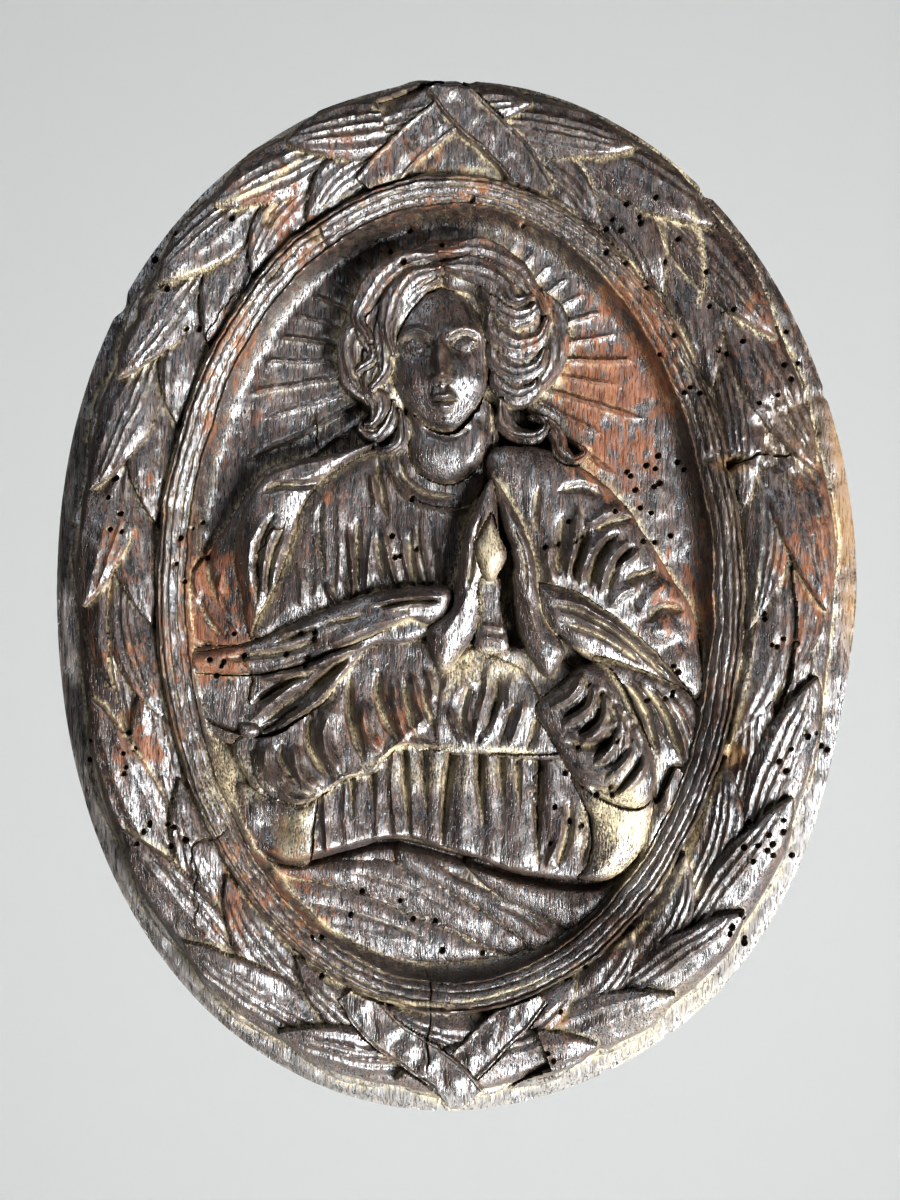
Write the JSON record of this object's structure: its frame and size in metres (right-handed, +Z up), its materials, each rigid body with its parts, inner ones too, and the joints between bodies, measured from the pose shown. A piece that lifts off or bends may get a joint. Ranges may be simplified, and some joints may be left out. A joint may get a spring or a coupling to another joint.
{
  "type": "carved medallion",
  "caption": "Oval carved wooden relief medallion: a praying half-length figure with a rayed halo inside a moulding and a ribboned laurel wreath.",
  "frame": {"origin": "middle of the flat back, where the medallion rests against a wall", "axes": "+Z up as it hangs, +X to the viewer's right, +Y through the back into the wall; the carving faces -Y"},
  "size_m": [0.1999, 0.0294, 0.2576],
  "materials": {
    "old_oiled_wood": "dark, worn and oiled, with dust in the hollows and woodworm holes"
  },
  "bodies": {
    "root": {"medallion": "old_oiled_wood"}
  },
  "joints": []
}
